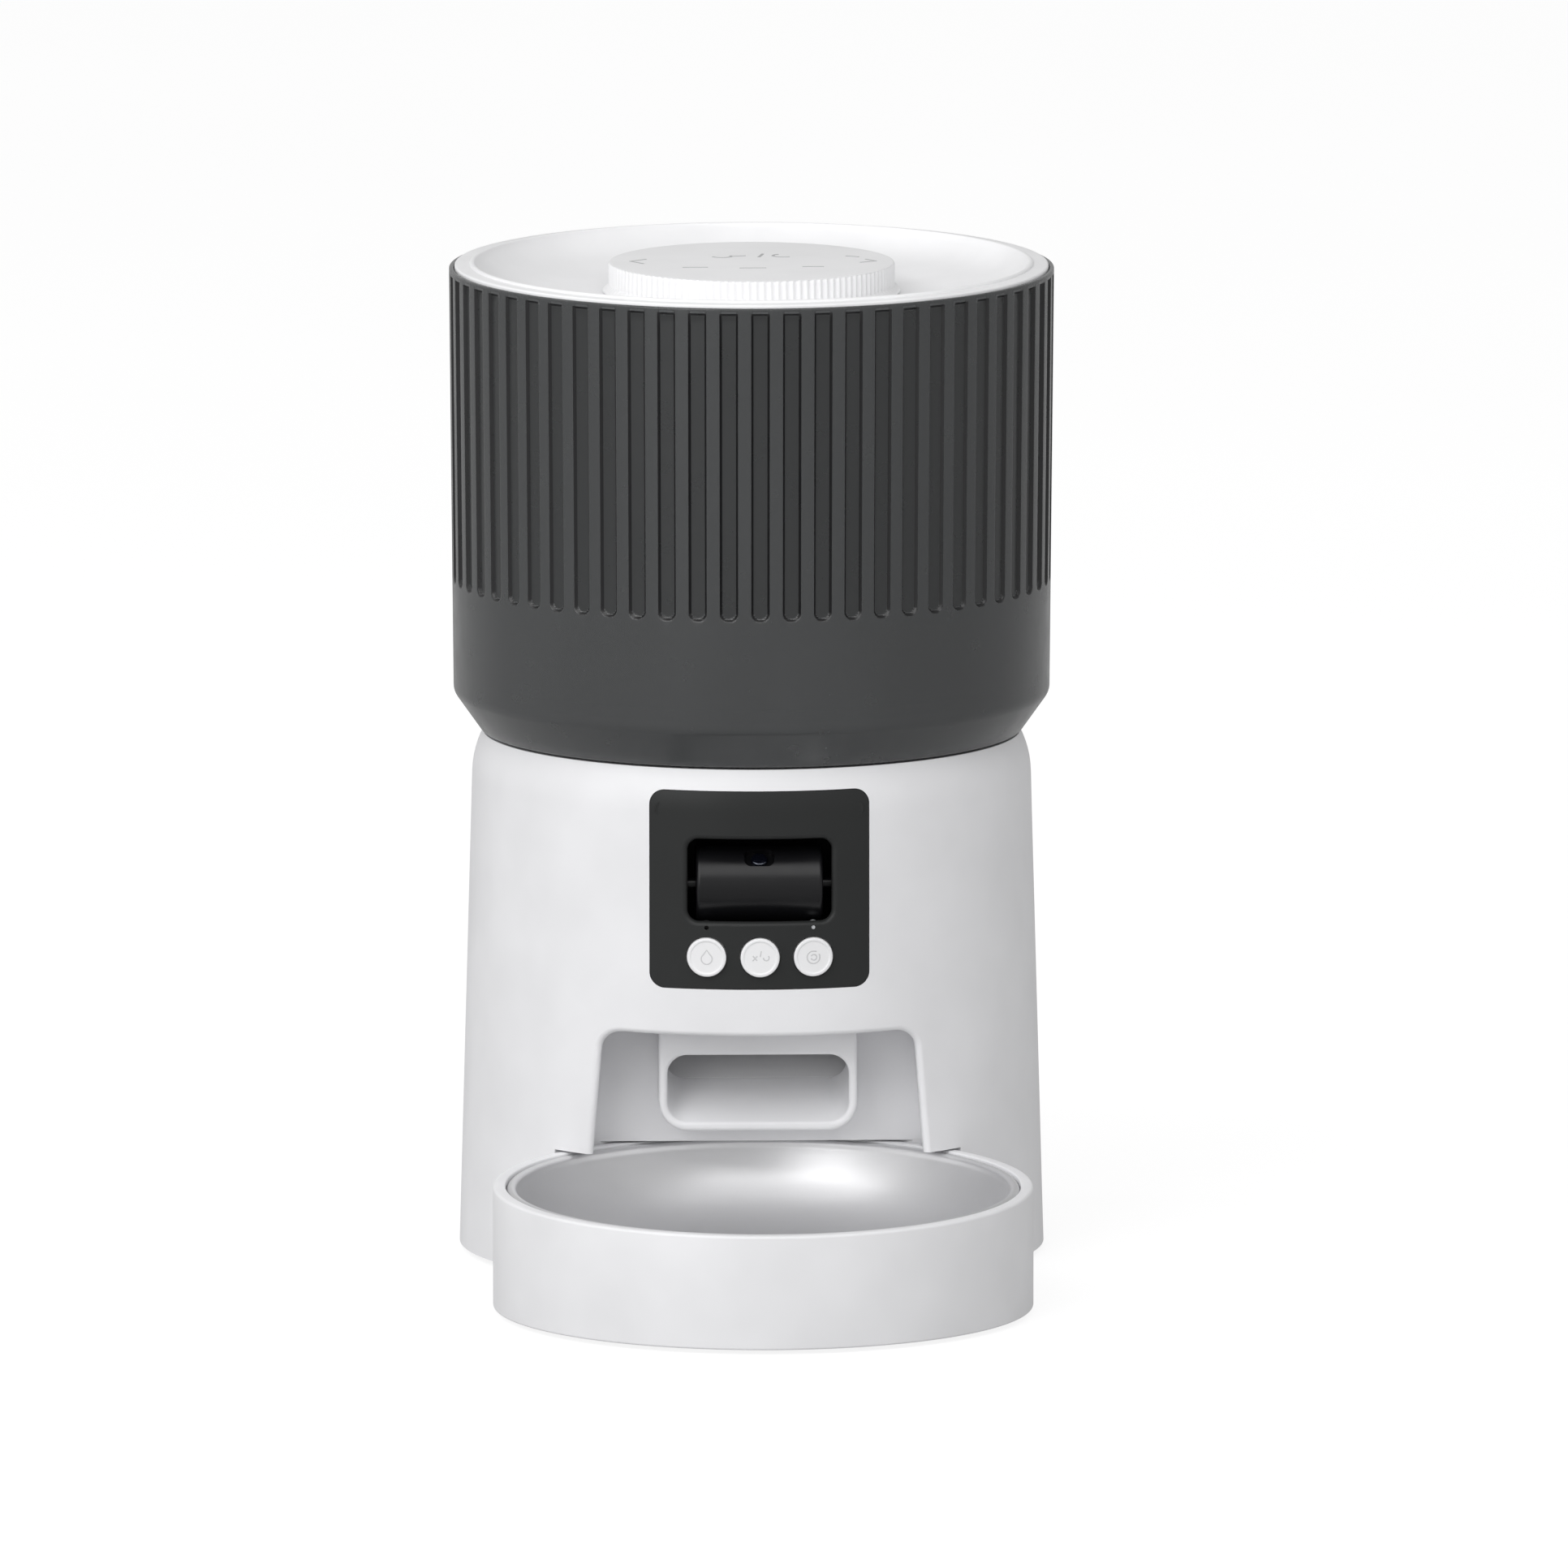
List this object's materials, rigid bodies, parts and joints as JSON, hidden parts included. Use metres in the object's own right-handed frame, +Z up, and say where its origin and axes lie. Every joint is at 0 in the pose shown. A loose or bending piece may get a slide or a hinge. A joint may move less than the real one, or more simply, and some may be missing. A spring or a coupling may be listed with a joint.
{
  "type": "automatic pet feeder",
  "caption": "Automatic dry-food feeder: round white tower, smoked ribbed hopper with a twist-lock lid, tilting camera, sprung buttons, geared portion wheel, steel bowl in a tray.",
  "frame": {"origin": "centre of the whole footprint (tower and bowl tray together), on the surface it stands on", "axes": "+Z up, -Y the front where the bowl is, +X the right-hand side seen from the front"},
  "size_m": [0.19, 0.3012, 0.3133],
  "materials": {
    "body_plastic": "satin moulded ABS, white",
    "lid_plastic": "semi-gloss moulded ABS, white",
    "smoke_plastic": "smoked transparent plastic, semi-gloss",
    "panel_plastic": "charcoal moulded plastic, satin",
    "barrel_plastic": "black moulded plastic, semi-gloss",
    "button_plastic": "white moulded plastic, satin, faint engraved icon",
    "inner_plastic": "grey moulded plastic, matt",
    "bowl_steel": "stainless steel, fine satin polish",
    "gear_plastic": "natural acetal",
    "motor_metal": "zinc-plated steel",
    "screw_steel": "zinc-plated steel",
    "bush_bronze": "sintered bronze",
    "foot_rubber": "grey rubber, matt",
    "seal_silicone": "translucent silicone",
    "flap_silicone": "grey silicone",
    "board_green": "circuit board, solder mask",
    "chip_black": "moulded component bodies",
    "cell_jacket": "plain cell jacket",
    "contact_nickel": "nickel-plated spring steel",
    "lens_glass": "coated lens glass",
    "inlet_black": "black moulded socket with a metal pin",
    "light_pipe": "clear light pipe",
    "pack_paper": "breathable paper sachet"
  },
  "bodies": {
    "body": {"body_shell": "body_plastic", "front_panel": "panel_plastic", "button_board": "board_green", "tact_switches": "chip_black", "microphone": "chip_black", "status_light": "light_pipe", "camera_bay": "barrel_plastic", "panel_screws": "screw_steel", "metering_cup": "inner_plastic", "cup_screws": "screw_steel", "gear_pins": "screw_steel", "gearbox_case": "inner_plastic", "gearbox_cover": "inner_plastic", "shaft_bush": "bush_bronze", "gearbox_screws": "screw_steel", "gear_motor": "motor_metal", "outlet_chute": "body_plastic", "base_plate": "body_plastic", "rubber_feet": "foot_rubber", "base_screws": "screw_steel", "battery_box": "inner_plastic", "batteries": "cell_jacket", "battery_contacts": "contact_nickel", "main_board": "board_green", "board_parts": "chip_black", "power_inlet": "inlet_black", "speaker": "chip_black"},
    "button_left": {"button_left": "button_plastic"},
    "button_middle": {"button_middle": "button_plastic"},
    "button_right": {"button_right": "button_plastic"},
    "camera": {"camera_barrel": "barrel_plastic", "camera_lens": "lens_glass"},
    "wheel": {"portion_wheel": "inner_plastic", "output_gear": "gear_plastic"},
    "second_gear": {"second_gear": "gear_plastic"},
    "first_gear": {"first_gear": "gear_plastic"},
    "motor_rotor": {"motor_pinion": "bush_bronze"},
    "battery_door": {"battery_door": "body_plastic"},
    "hopper": {"hopper": "smoke_plastic", "hopper_floor": "panel_plastic", "wiper_flaps": "flap_silicone"},
    "lid": {"lid": "lid_plastic", "lid_seal": "seal_silicone", "latch_housing": "lid_plastic", "lid_screws": "screw_steel", "desiccant_pack": "pack_paper"},
    "knob": {"lid_knob": "lid_plastic", "knob_cam": "gear_plastic", "knob_screw": "screw_steel"},
    "latch_left": {"latch_bolt_left": "gear_plastic"},
    "latch_right": {"latch_bolt_right": "gear_plastic"},
    "desiccant_cover": {"desiccant_cover": "lid_plastic"},
    "tray": {"bowl_tray": "body_plastic", "tray_feet": "foot_rubber"},
    "bowl": {"steel_bowl": "bowl_steel"}
  },
  "joints": [
    {"name": "hopper_lift", "type": "slide", "parent": "body", "child": "hopper", "axis": [0, 0, 1], "range_m": [0, 0.1]},
    {"name": "lid_lift", "type": "slide", "parent": "hopper", "child": "lid", "axis": [0, 0, 1], "range_m": [0, 0.1]},
    {"name": "knob_turn", "type": "hinge", "parent": "lid", "child": "knob", "pos_m": [0, 0.05565, 0.3032], "axis": [0, 0, 1], "range_deg": [0, 75]},
    {"name": "latch_left_slide", "type": "slide", "parent": "lid", "child": "latch_left", "axis": [-1, 0, 0], "range_m": [0, 0.0038]},
    {"name": "latch_right_slide", "type": "slide", "parent": "lid", "child": "latch_right", "axis": [1, 0, 0], "range_m": [0, 0.0038]},
    {"name": "desiccant_cover_turn", "type": "hinge", "parent": "lid", "child": "desiccant_cover", "pos_m": [0, 0.05565, 0.285], "axis": [0, 0, 1], "range_deg": [0, 30]},
    {"name": "camera_tilt", "type": "hinge", "parent": "body", "child": "camera", "pos_m": [0, -0.01785, 0.127], "axis": [1, 0, 0], "range_deg": [-10, 60]},
    {"name": "button_left_press", "type": "slide", "parent": "body", "child": "button_left", "axis": [0, 1, 0], "range_m": [0, 0.001], "stiffness_N_per_m": 600, "springref_m": -0.0005},
    {"name": "button_middle_press", "type": "slide", "parent": "body", "child": "button_middle", "axis": [0, 1, 0], "range_m": [0, 0.001], "stiffness_N_per_m": 600, "springref_m": -0.0005},
    {"name": "button_right_press", "type": "slide", "parent": "body", "child": "button_right", "axis": [0, 1, 0], "range_m": [0, 0.001], "stiffness_N_per_m": 600, "springref_m": -0.0005},
    {"name": "wheel_turn", "type": "hinge", "parent": "body", "child": "wheel", "pos_m": [0, 0.05565, 0.128], "axis": [0, 0, 1], "continuous": true},
    {"name": "second_gear_turn", "type": "hinge", "parent": "body", "child": "second_gear", "pos_m": [-0.01, 0.07297, 0.111], "axis": [0, 0, 1], "continuous": true},
    {"name": "first_gear_turn", "type": "hinge", "parent": "body", "child": "first_gear", "pos_m": [0.00732, 0.08297, 0.103], "axis": [0, 0, 1], "continuous": true},
    {"name": "motor_turn", "type": "hinge", "parent": "body", "child": "motor_rotor", "pos_m": [-0.01, 0.09297, 0.1], "axis": [0, 0, 1], "continuous": true},
    {"name": "battery_door_release", "type": "slide", "parent": "body", "child": "battery_door", "axis": [0, 0, -1], "range_m": [0, 0.03]},
    {"name": "tray_slide", "type": "slide", "parent": "body", "child": "tray", "axis": [0, -1, 0], "range_m": [0, 0.11]},
    {"name": "bowl_turn", "type": "hinge", "parent": "tray", "child": "bowl", "pos_m": [0, -0.06635, 0.0395], "axis": [0, -0.0262, 0.9997], "continuous": true}
  ],
  "couplings": [
    {"joint": "latch_left_slide", "follows": "knob_turn", "m_per_rad": 0.002902},
    {"joint": "latch_right_slide", "follows": "knob_turn", "m_per_rad": 0.002902},
    {"joint": "second_gear_turn", "follows": "wheel_turn", "ratio": -2.3333},
    {"joint": "first_gear_turn", "follows": "wheel_turn", "ratio": 7},
    {"joint": "motor_turn", "follows": "wheel_turn", "ratio": -21}
  ]
}
